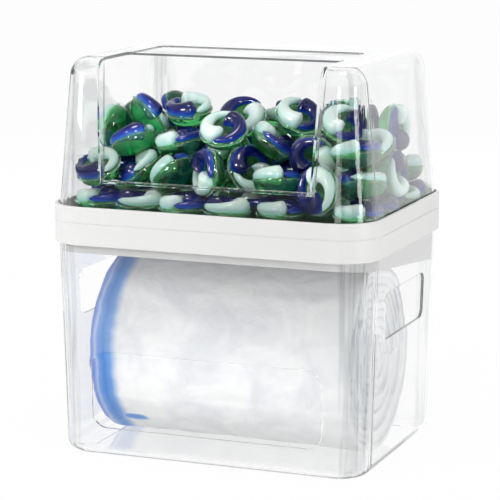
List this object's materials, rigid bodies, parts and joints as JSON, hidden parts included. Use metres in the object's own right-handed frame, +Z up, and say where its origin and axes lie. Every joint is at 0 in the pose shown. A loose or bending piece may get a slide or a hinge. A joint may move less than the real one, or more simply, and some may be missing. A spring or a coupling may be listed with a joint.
{
  "type": "trash bag and pod dispenser",
  "caption": "Two-storey clear countertop dispenser: a lower bin with a slot for a roll of trash bags, a white divider tray, and a tapered clear dome with a hand window over a heap of pods.",
  "frame": {"origin": "middle of the base, on the surface it stands on", "axes": "+X along the width to the right as seen from the front, +Y to the back (the slot and the window face -Y), +Z up"},
  "size_m": [0.292, 0.222, 0.34],
  "materials": {
    "clear_plastic": "clear, polished mould",
    "white_plastic": "satin",
    "bag_film": "soft sheen, thin film",
    "pod_film": "gloss film over coloured liquid"
  },
  "bodies": {
    "bin": {"bag_bin": "clear_plastic", "trash_bag_roll": "bag_film"},
    "tray": {"divider_tray": "white_plastic", "pods_layer_1": "pod_film", "pods_layer_2": "pod_film", "pods_layer_3": "pod_film", "pods_layer_4": "pod_film"},
    "dome": {"pod_dome": "clear_plastic"}
  },
  "joints": [
    {"name": "tray_lift", "type": "slide", "parent": "bin", "child": "tray", "axis": [0, 0, 1], "range_m": [0, 0.12]},
    {"name": "dome_lift", "type": "slide", "parent": "tray", "child": "dome", "axis": [0, 0, 1], "range_m": [0, 0.15]}
  ]
}
